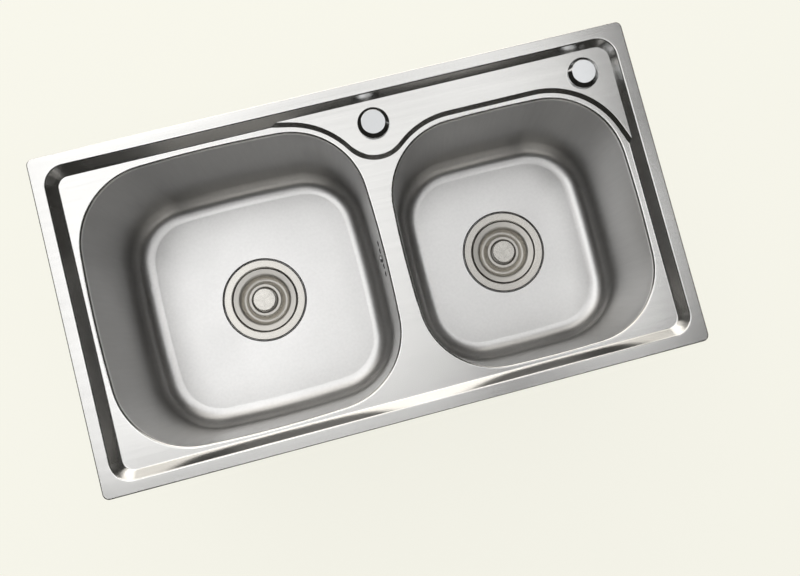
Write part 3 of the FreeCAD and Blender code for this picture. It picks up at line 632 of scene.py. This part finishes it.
def closed_foam(name, colour):
    """Closed-cell foam strip, pitted with small pores that are darkened by painted shade."""
    look = Finish(name)
    cells = look.node("ShaderNodeTexVoronoi", None, {"Vector": look.place, "Scale": 1400.0})
    pores = Number(look, cells.outputs["Distance"])
    return look.surface(
        # painted shade: darker in each pore's pit
        Base_Color=look.blend(pores, shaded(colour, 0.6), shaded(colour, 1.3)),
        Roughness=0.95,
        Normal=look.bump(pores, 0.0002, 0.6),
    )


def moulded_plastic(name, colour, rough=0.42):
    """Moulded plastic with a fine spark-eroded grain."""
    look = Finish(name)
    grain = look.noise(look.place, scale=1500.0, detail=2.0)
    cloud = look.noise(look.place, scale=22.0, detail=2.0)
    return look.surface(
        Base_Color=look.blend(cloud, colour, shaded(colour, 0.93)),
        Roughness=look.ramp(cloud, (0.3, rough - 0.05), (0.7, rough + 0.08)),
        Normal=look.bump(grain, 0.00003, 0.35),
        Specular_IOR_Level=0.4,
    )


def plated_steel(name, colour, rough=0.36):
    """Zinc plating, slightly blue and cloudy."""
    look = Finish(name)
    cloud = look.noise(look.place, scale=120.0, detail=4.0, rough=0.65)
    return look.surface(
        Base_Color=look.blend(cloud, shaded(colour, 0.82), colour),
        Metallic=1.0,
        Roughness=look.ramp(cloud, (0.3, rough - 0.08), (0.75, rough + 0.12)),
        Normal=look.bump(cloud, 0.00002, 0.3),
    )


def weld_metal(name, colour):
    """Steel of the weld beads, tinted straw and blue by the heat."""
    look = Finish(name)
    straw = [part * share for part, share in zip(colour, (0.95, 0.86, 0.66))]
    blue = [part * share for part, share in zip(colour, (0.68, 0.74, 0.86))]
    heat = look.noise(look.place, scale=90.0, detail=2.0)
    fine = look.noise(look.place, scale=1300.0, detail=2.0)
    return look.surface(
        Base_Color=look.blend(heat, straw, blue),
        Metallic=1.0,
        Roughness=look.ramp(fine, (0.3, 0.3), (0.7, 0.45)),
    )


def pressed_card(name, colour):
    """Waxed card with long fibres."""
    look = Finish(name)
    stretched = look.about((0, 0, 0), (1.0, 2.4, 1.0))
    fibre = look.noise(stretched, scale=700.0, detail=4.0, rough=0.7)
    return look.surface(
        Base_Color=look.blend(fibre, shaded(colour, 0.7), colour),
        Roughness=0.9,
        Normal=look.bump(fibre, 0.00008, 0.5),
    )


def ribbed_pad(name, colour):
    """Rubber pad with a pressed grid of small squares."""
    look = Finish(name)
    x, y, _ = look.parts_of(look.place)
    pitch = 0.006  # of the squares
    across = look.math("ABSOLUTE", look.math("SINE", x * (math.pi / pitch)))
    along = look.math("ABSOLUTE", look.math("SINE", y * (math.pi / pitch)))
    squares = look.ramp(look.math("MINIMUM", across, along), (0.05, 0.0), (0.3, 1.0))
    dust = look.noise(look.place, scale=180.0, detail=3.0)
    return look.surface(
        Base_Color=look.blend(dust, colour, [part * 1.8 + 0.02 for part in colour]),
        Roughness=0.85,
        Normal=look.bump(squares, 0.0004, 0.7),
    )


# --- sizes and colours a user can change ---------------------------------------------------
def colour_property(name, description, default):
    """A colour that a user can change."""
    return FloatVectorProperty(
        name=name, description=description, default=default, subtype="COLOR", min=0.0, max=1.0
    )


def share_property(name, description, default):
    """A share of 1 that a user can change, such as a roughness."""
    return FloatProperty(
        name=name, description=description, default=default, subtype="FACTOR", min=0.05, max=1.0
    )


def length_property(name, description, default):
    """A length in metres that a user can change."""
    return FloatProperty(
        name=name, description=description, default=default, unit="LENGTH", precision=5
    )


def power_property(name, description, default):
    """A lamp's power in watts."""
    return FloatProperty(name=name, description=description, default=default, unit="POWER")


class SinkFinishes(bpy.types.PropertyGroup):
    """Colours and roughness of the sink's materials"""

    panel_colour: colour_property("Panel", "Steel of the rim and decks", (0.80, 0.795, 0.78))
    bowl_colour: colour_property("Bowls", "Steel of the bowls", (0.88, 0.875, 0.865))
    strainer_colour: colour_property("Strainers", "Steel of the strainers", (0.63, 0.61, 0.57))
    knob_colour: colour_property("Knobs", "Steel of the basket knobs", (0.64, 0.62, 0.58))
    cap_colour: colour_property("Caps", "Chrome of the tap-hole covers", (0.64, 0.65, 0.66))
    rubber_colour: colour_property("Rubber", "Gaskets and stoppers", (0.018, 0.018, 0.018))
    foam_colour: colour_property("Foam", "Seal under the rim", (0.09, 0.09, 0.09))
    card_colour: colour_property("Card", "Friction rings", (0.36, 0.27, 0.17))
    plastic_colour: colour_property("Plastic", "Nuts, outlets, overflow pipe", (0.72, 0.72, 0.70))
    dark_colour: colour_property("Dark plastic", "Overflow box", (0.022, 0.022, 0.023))
    zinc_colour: colour_property("Zinc", "Clips, brackets and screws", (0.58, 0.59, 0.60))
    pad_colour: colour_property("Pads", "Sound pads under the bowls", (0.035, 0.035, 0.037))
    panel_rough: share_property("Panel roughness", "How dull the brushed panel is", 0.24)
    bowl_rough: share_property("Bowl roughness", "How dull the bowls are", 0.36)
    # painted shade: how far the bowls' walls are darkened
    painted_wall_shade: share_property("Wall shade", "How much light the bowls' walls keep", 0.58)


class SinkDetails(bpy.types.PropertyGroup):
    """Sizes of the threads, the seam weld and the grip ribs"""

    cup_pitch: length_property("Cup thread", "Pitch of the strainer cups' threads", 0.0022)
    outlet_pitch: length_property("Outlet thread", "Pitch of the outlets' threads", 0.0023)
    stud_pitch: length_property("Stud thread", "Pitch of the cover studs' threads", 0.0013)
    screw_pitch: length_property("Screw thread", "Pitch of the clamp screws' threads", 0.0008)
    weld_pitch: length_property("Weld pitch", "Step between the seam weld's beads", 0.0014)
    weld_width: length_property("Weld width", "Width of the seam weld", 0.0018)
    rib_count: IntProperty(
        name="Grip ribs", description="Ribs round an outlet's collar", default=40, min=8, max=90
    )


class SinkStage(bpy.types.PropertyGroup):
    """The pale floor and the power of each lamp"""

    backdrop: colour_property("Backdrop", "Pale floor and surroundings", (0.94, 0.932, 0.845))
    top_watts: power_property("Top light", "Wide soft box above the sink", 13.5)
    glow_watts: power_property("Top glow", "Brighter patch of the top light", 1.6)
    left_watts: power_property("Left light", "Soft box beyond the left side", 2.3)
    corner_watts: power_property("Corner light", "Soft box above the back left corner", 7.5)
    right_watts: power_property("Right light", "Soft box above the back right corner", 3.0)
    middle_watts: power_property("Middle light", "Patch above the right side", 1.2)
    far_watts: power_property("Far right light", "Soft box beyond the right side", 2.6)
    front_watts: power_property("Front light", "Long soft box above the front", 5.5)
    back_watts: power_property("Back light", "Tall soft box behind the tap side", 35.0)
    low_watts: power_property("Low back light", "Brighter lower part of the back light", 12.0)
    floor_drop: length_property("Floor", "Floor below the outlets", 0.004)


# --- pieces --------------------------------------------------------------------------------
class SINK_OT_panel(bpy.types.Operator):
    """Finish the rim and decks in brushed steel"""

    bl_idname = "sink.panel"
    bl_label = "Top Panel"
    bl_options = {"REGISTER", "UNDO"}

    def execute(self, context):
        looks = context.scene.sink_finishes
        dress(brushed_sheet("panel_steel", looks.panel_colour, looks.panel_rough), "top_panel")
        return {"FINISHED"}


class SINK_OT_bowls(bpy.types.Operator):
    """Finish both bowls in matt steel and lay the weld that joins each to the panel"""

    bl_idname = "sink.bowls"
    bl_label = "Bowls"
    bl_options = {"REGISTER", "UNDO"}

    corner = 0.0908  # of the bowls' outer faces, seen from above
    bow = 1.5008  # radius of their slightly bowed sides
    seam_height = 0.0006  # how far the beads stand out
    slot_pitch = 0.0097  # of the overflow slots
    slot_radius = 0.0032  # reach of the painted shade round a slot's middle line
    slot_straight = 0.010  # length of that line

    def execute(self, context):
        looks = context.scene.sink_finishes
        sizes = context.scene.sink_details
        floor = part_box("left_bowl")[0][2]
        # overflow slots, whose cut edges get painted shade
        slots = (middle("overflow_gasket"), self.slot_pitch, self.slot_radius, self.slot_straight)
        # bowl steel, with painted shade up the walls and on the slots' cut edges
        steel = satin_bowl(
            "bowl_steel", looks.bowl_colour, looks.bowl_rough, looks.painted_wall_shade, floor, slots
        )
        dress(steel, "left_bowl", "right_bowl")
        hot = weld_metal("weld_metal", looks.bowl_colour)
        for side in SIDES:
            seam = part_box(side + "_bowl")[1][2]
            around = mouth_outline(side + "_bowl", self.corner, self.bow)
            path = [(point.x, point.y, seam) for point in around]
            weld_bead(
                side + "_seam_weld", path, sizes.weld_pitch, sizes.weld_width,
                self.seam_height, hot, "bowl_steel",
            )
        return {"FINISHED"}


class SINK_OT_caps(bpy.types.Operator):
    """Chrome the tap-hole covers and thread their studs"""

    bl_idname = "sink.caps"
    bl_label = "Tap-Hole Covers"
    bl_options = {"REGISTER", "UNDO"}

    stud = 0.004  # radius of a cover's stud
    stud_end = 0.0008  # plain tip
    below_nut = 0.0002
    ridge = 0.00035  # how far the thread stands out
    facets = 20  # round one turn of it
    rough = 0.08

    def execute(self, context):
        looks = context.scene.sink_finishes
        covers = ("middle_tap_cap", "right_tap_cap")
        chrome = polished_chrome("cap_chrome", looks.cap_colour, self.rough)
        dress(chrome, *covers)
        places = [tuple(middle(cover).xy) for cover in covers]
        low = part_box(covers[0])[0][2] + self.stud_end
        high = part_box("tap_cap_wing_nuts")[0][2] - self.below_nut
        thread_ridge(
            "stud_threads", places, self.stud, low, high,
            context.scene.sink_details.stud_pitch, self.ridge, chrome, "cap_chrome", self.facets,
        )
        return {"FINISHED"}


class SINK_OT_strainers(bpy.types.Operator):
    """Finish the strainers, baskets and knobs in turned steel and thread the cups"""

    bl_idname = "sink.strainers"
    bl_label = "Strainers"
    bl_options = {"REGISTER", "UNDO"}

    cup = 0.045  # outer radius of a strainer's cup
    thread_length = 0.02  # below the lock nut
    below_nut = 0.0002
    ridge = 0.0006  # how far the thread stands out
    facets = 72  # round one turn of it
    basket_light = 1.3  # how much lighter a basket is than its cup
    basket_rough = 0.45
    rough = 0.27  # of the cups, flanges and knobs

    def execute(self, context):
        looks = context.scene.sink_finishes
        pitch = context.scene.sink_details.cup_pitch
        for side in SIDES:
            centre = middle(side + "_strainer_body")
            colour = looks.strainer_colour
            steel = turned_steel(side + "_strainer_steel", colour, self.rough, centre)
            dress(steel, side + "_strainer_body")
            light = shaded(colour, self.basket_light)
            pressed = turned_steel(side + "_basket_steel", light, self.basket_rough, centre)
            dress(pressed, side + "_basket")
            knob = swirled_steel(side + "_knob_steel", looks.knob_colour, self.rough, centre)
            dress(knob, side + "_basket_knob")
            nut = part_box(side + "_lock_nut")[0][2]
            thread_ridge(
                side + "_cup_thread", [tuple(centre.xy)], self.cup, nut - self.thread_length,
                nut - self.below_nut, pitch, self.ridge, steel, "strainer_steel", self.facets,
            )
        return {"FINISHED"}


class SINK_OT_waste(bpy.types.Operator):
    """Finish the gaskets, nuts, outlets, overflow and pads, with outlet threads and grip ribs"""

    bl_idname = "sink.waste"
    bl_label = "Waste And Overflow"
    bl_options = {"REGISTER", "UNDO"}

    spigot = 0.0239  # radius of an outlet
    spigot_length = 0.026
    spigot_tip = 0.001  # plain below the thread
    spigot_neck = 0.003  # plain above it
    ridge = 0.0007  # how far the thread stands out
    facets = 56  # round one turn of it
    collar = 0.030  # radius of an outlet housing's collar
    collar_low = -0.2605  # heights of its ribs' lower and upper ends
    collar_high = -0.2460
    rib = 0.0009  # radius of a grip rib

    def execute(self, context):
        looks = context.scene.sink_finishes
        sizes = context.scene.sink_details
        rubber = soft_rubber("black_rubber", looks.rubber_colour)
        plastic = moulded_plastic("white_plastic", looks.plastic_colour)
        card = pressed_card("friction_card", looks.card_colour)
        pad = ribbed_pad("pad_rubber", looks.pad_colour)
        dress(rubber, "overflow_gasket", "tap_cap_gaskets")
        dress(moulded_plastic("black_plastic", looks.dark_colour), "overflow_box")
        dress(plastic, "overflow_pipe", "tap_cap_washers", "tap_cap_wing_nuts")
        for side in SIDES:
            for part in ("flange_gasket", "floor_gasket", "outlet_seal", "basket_stopper"):
                dress(rubber, side + "_" + part)
            dress(plastic, side + "_lock_nut", side + "_outlet_housing")
            dress(card, side + "_friction_ring")
            dress(pad, side + "_sound_pad")
        places = [tuple(middle(side + "_strainer_body").xy) for side in SIDES]
        low = cad_box[0][2] + self.spigot_tip
        high = low + self.spigot_length - self.spigot_neck
        thread_ridge(
            "outlet_threads", places, self.spigot, low, high,
            sizes.outlet_pitch, self.ridge, plastic, "white_plastic", self.facets,
        )
        grip_ribs(
            "collar_ribs", places, self.collar, self.collar_low, self.collar_high,
            sizes.rib_count, self.rib, plastic, "white_plastic",
        )
        return {"FINISHED"}


class SINK_OT_fixings(bpy.types.Operator):
    """Finish the seal, clips, brackets and screws, with screw threads and spot welds"""

    bl_idname = "sink.fixings"
    bl_label = "Fixings"
    bl_options = {"REGISTER", "UNDO"}

    screw = 0.0025  # radius of a clamp screw
    screw_head = 0.006  # no thread this far up from the head's face
    screw_tip = 0.0003  # nor this far down from the tip
    ridge = 0.00025  # how far the thread stands out
    facets = 12  # round one turn of it
    apart = 0.05  # screws and brackets lie further apart than this
    ray_start = 0.05  # rays that find a bracket's leg start this far out
    weld_rise = 0.0045  # spot welds above a bracket's lower edge
    weld_offset = 0.007  # each side of a bracket's middle
    weld_radius = 0.0021
    weld_height = 0.0003

    def weld_spots(self):
        """Two places low on each bracket's leg, and the way the leg faces there."""
        brackets = nodes["clip_brackets"]
        bowls = [middle(side + "_bowl") for side in SIDES]
        spots = []
        for low, high in separate_boxes("clip_brackets", self.apart):
            centre = (low + high) / 2
            nearest = min(bowls, key=lambda bowl: (bowl.xy - centre.xy).length)
            out = main_way(centre - nearest)
            aside = Vector((-out.y, out.x, 0.0))
            foot = Vector((centre.x, centre.y, low.z + self.weld_rise))
            for offset in (-self.weld_offset, self.weld_offset):
                start = foot + out * self.ray_start + aside * offset
                found, place, facing, _ = brackets.ray_cast(start, -out)
                if found:
                    spots.append((place, facing))
        return spots

    def execute(self, context):
        looks = context.scene.sink_finishes
        sizes = context.scene.sink_details
        zinc = plated_steel("fixing_steel", looks.zinc_colour)
        dress(zinc, "clip_brackets", "worktop_clips", "clip_screws", "overflow_screw")
        dress(closed_foam("seal_foam", looks.foam_colour), "rim_seal")
        screws = separate_boxes("clip_screws", self.apart)
        places = [tuple((low.xy + high.xy) / 2) for low, high in screws]
        low = max(low.z for low, _ in screws) + self.screw_head
        high = min(high.z for _, high in screws) - self.screw_tip
        thread_ridge(
            "clamp_threads", places, self.screw, low, high,
            sizes.screw_pitch, self.ridge, zinc, "fixing_steel", self.facets,
        )
        spot_welds(
            "bracket_welds", self.weld_spots(), self.weld_radius, self.weld_height,
            weld_metal("spot_weld_metal", looks.zinc_colour), "fixing_steel",
        )
        return {"FINISHED"}


# --- stage ---------------------------------------------------------------------------------
WARM = (1.0, 0.965, 0.91)  # light of the soft boxes behind the tap side


def flat_mesh(name, points, faces, material):
    """A thing of the stage made of flat faces."""
    mesh = bpy.data.meshes.new(name)
    mesh.from_pydata(points, [], faces)
    mesh.materials.append(material)
    thing = bpy.data.objects.new(name, mesh)
    bpy.context.collection.objects.link(thing)
    return thing


def corners(x, y, z):
    """The corners of a level rectangle."""
    return [(x[0], y[0], z), (x[1], y[0], z), (x[1], y[1], z), (x[0], y[1], z)]


def looked_at(look):
    """1 for rays from the camera or from a mirror or through glass, otherwise 0."""
    path = look.node("ShaderNodeLightPath")
    seen = Number(look, path.outputs["Is Camera Ray"])
    seen = look.math("MAXIMUM", seen, Number(look, path.outputs["Is Glossy Ray"]))
    return look.math("MAXIMUM", seen, Number(look, path.outputs["Is Transmission Ray"]))


def floor_finish(colour, plain):
    """Pale floor: plain where it is looked at, yet shaded by the sink and clear from below."""
    look = Finish("floor_finish")
    lit = look.node("ShaderNodeBsdfDiffuse", None, {"Color": with_alpha(colour)})
    glow = look.node("ShaderNodeEmission", None, {"Color": with_alpha(colour)})
    shade = look.node(
        "ShaderNodeMixShader",
        None,
        {"Fac": looked_at(look) * plain, "Shader": lit.outputs[0], "Shader_001": glow.outputs[0]},
    )
    clear = look.node("ShaderNodeBsdfTransparent")
    side = look.node("ShaderNodeNewGeometry")
    final = look.node(
        "ShaderNodeMixShader",
        None,
        {
            "Fac": side.outputs["Backfacing"],
            "Shader": shade.outputs[0],
            "Shader_001": clear.outputs[0],
        },
    )
    look.node("ShaderNodeOutputMaterial", None, {"Surface": final.outputs[0]})
    return look.material


def pale_world(colour, fill):
    """Pale surroundings where they are looked at, and a soft fill for the rest."""
    world = bpy.data.worlds.new("studio")
    bpy.context.scene.world = world
    world.use_nodes = True
    look = Graph(world.node_tree)
    level = looked_at(look) * (1.0 - fill) + fill
    back = look.node(
        "ShaderNodeBackground", None, {"Color": with_alpha(colour), "Strength": level}
    )
    look.node("ShaderNodeOutputWorld", None, {"Surface": back.outputs[0]})


def dark_tent(reach, low, high):
    """Dark cloth round and over the lamps, seen only in reflections."""
    look = Finish("dark_cloth")
    cloth = look.surface(Base_Color=(0.02, 0.019, 0.018, 1.0), Roughness=1.0)
    span = (-reach, reach)
    points = corners(span, span, low) + corners(span, span, high)
    walls = [(i, (i + 1) % 4, (i + 1) % 4 + 4, i + 4) for i in range(4)]
    tent = flat_mesh("dark_tent", points, [*walls, (4, 5, 6, 7)], cloth)
    tent.visible_camera = False
    tent.visible_diffuse = False
    tent.visible_shadow = False


def soft_box(name, watts, size, place, aim, colour=(1.0, 1.0, 1.0)):
    """A rectangular lamp at a place, aimed at another."""
    lamp = bpy.data.lights.new(name, "AREA")
    lamp.shape = "RECTANGLE"
    lamp.size, lamp.size_y = size
    lamp.energy = watts
    lamp.color = colour
    holder = bpy.data.objects.new(name, lamp)
    holder.location = place
    holder.rotation_mode = "QUATERNION"
    holder.rotation_quaternion = (Vector(aim) - Vector(place)).to_track_quat("-Z", "Y")
    bpy.context.collection.objects.link(holder)


def overhead(name, watts, x, y, height):
    """A soft box that faces down over a span of the floor."""
    spot = Vector(((x[0] + x[1]) / 2, (y[0] + y[1]) / 2, height))
    soft_box(name, watts, (x[1] - x[0], y[1] - y[0]), spot, spot * Vector((1.0, 1.0, 0.0)))


def behind(name, watts, x, z, distance):
    """An upright soft box behind the tap side, which faces the sink."""
    spot = Vector(((x[0] + x[1]) / 2, distance, (z[0] + z[1]) / 2))
    soft_box(name, watts, (x[1] - x[0], z[1] - z[0]), spot, spot * Vector((1.0, 0.0, 1.0)), WARM)


def set_camera():
    """A camera high above the front of the left bowl, turned a little."""
    camera = bpy.data.cameras.new("photo_camera")
    camera.sensor_width = 36.0
    camera.lens = 37.44
    camera.shift_x = -0.04625
    camera.shift_y = 0.0146
    camera.clip_start = 0.05
    right = Vector((0.96587, -0.25284, 0.05624))
    down = Vector((-0.24794, -0.96533, -0.08168))
    ahead = Vector((0.07494, 0.06495, -0.99507))
    turn = Matrix((right, -down, -ahead)).transposed()
    place = Vector((-0.0139, -0.1364, 0.9664))
    holder = bpy.data.objects.new("photo_camera", camera)
    holder.matrix_world = Matrix.Translation(place) @ turn.to_4x4()
    bpy.context.collection.objects.link(holder)
    bpy.context.scene.camera = holder


class SINK_OT_stage(bpy.types.Operator):
    """Set the pale floor, the soft light and the camera"""

    bl_idname = "sink.stage"
    bl_label = "Stage"
    bl_options = {"REGISTER", "UNDO"}

    floor_reach = 7.0
    plainness = 0.85  # how far the floor ignores light where it is looked at
    fill = 0.5  # strength of the surroundings' own light
    ceiling = 3.0  # height of the soft boxes overhead
    wall = 2.2  # distance of those behind the tap side
    layer = 0.01  # an overlapping soft box lies this far in front

    def execute(self, context):
        stage = context.scene.sink_stage
        span = (-self.floor_reach, self.floor_reach)
        level = cad_box[0][2] - stage.floor_drop
        finish = floor_finish(stage.backdrop, self.plainness)
        flat_mesh("floor", corners(span, span, level), [(0, 1, 2, 3)], finish)
        pale_world(stage.backdrop, self.fill)
        dark_tent(reach=4.0, low=0.05, high=4.4)
        above = self.ceiling
        lower = above - self.layer
        lowest = lower - self.layer
        overhead("top_box", stage.top_watts, (-1.6, 0.4), (-0.4, 1.6), above)
        overhead("top_glow", stage.glow_watts, (-1.2, -0.4), (0.0, 0.8), lowest)
        overhead("left_box", stage.left_watts, (-2.0, -1.2), (-0.5, 1.5), lower)
        overhead("corner_box", stage.corner_watts, (-2.0, -0.4), (1.6, 2.2), above)
        overhead("right_box", stage.right_watts, (0.4, 1.4), (0.8, 1.6), above)
        overhead("middle_box", stage.middle_watts, (0.4, 1.2), (0.0, 0.8), above)
        overhead("far_box", stage.far_watts, (0.8, 1.45), (-0.4, 0.6), lower)
        overhead("front_box", stage.front_watts, (-1.0, 1.2), (-1.3, -0.8), above)
        behind("back_box", stage.back_watts, (-2.4, 1.0), (0.03, 3.0), self.wall)
        behind("low_box", stage.low_watts, (-0.8, 1.8), (0.03, 1.3), self.wall - self.layer)
        set_camera()
        context.scene.view_settings.view_transform = "Standard"
        return {"FINISHED"}


PIECES = (
    SINK_OT_panel,
    SINK_OT_bowls,
    SINK_OT_caps,
    SINK_OT_strainers,
    SINK_OT_waste,
    SINK_OT_fixings,
    SINK_OT_stage,
)


class SINK_PT_panel(bpy.types.Panel):
    """Lists the sink's operators, finishes, details and stage"""

    bl_idname = "SINK_PT_panel"
    bl_label = "Sink"
    bl_space_type = "VIEW_3D"
    bl_region_type = "UI"
    bl_category = "Sink"

    def draw(self, context):
        for piece in PIECES:
            self.layout.operator(piece.bl_idname)
        scene = context.scene
        for group in (scene.sink_finishes, scene.sink_details, scene.sink_stage):
            for key in group.__annotations__:
                self.layout.prop(group, key)


CLASSES = (SinkFinishes, SinkDetails, SinkStage, *PIECES, SINK_PT_panel)


def register():
    """Adds the classes and their values to the scene."""
    for item in CLASSES:
        bpy.utils.register_class(item)
    bpy.types.Scene.sink_finishes = PointerProperty(type=SinkFinishes)
    bpy.types.Scene.sink_details = PointerProperty(type=SinkDetails)
    bpy.types.Scene.sink_stage = PointerProperty(type=SinkStage)


def unregister():
    """Takes out what register added."""
    del bpy.types.Scene.sink_stage
    del bpy.types.Scene.sink_details
    del bpy.types.Scene.sink_finishes
    for item in reversed(CLASSES):
        bpy.utils.unregister_class(item)


def main():
    """Builds every piece in order."""
    register()
    for piece in PIECES:
        group, name = piece.bl_idname.split(".")
        getattr(getattr(bpy.ops, group), name)()


if __name__ == "__main__":
    main()
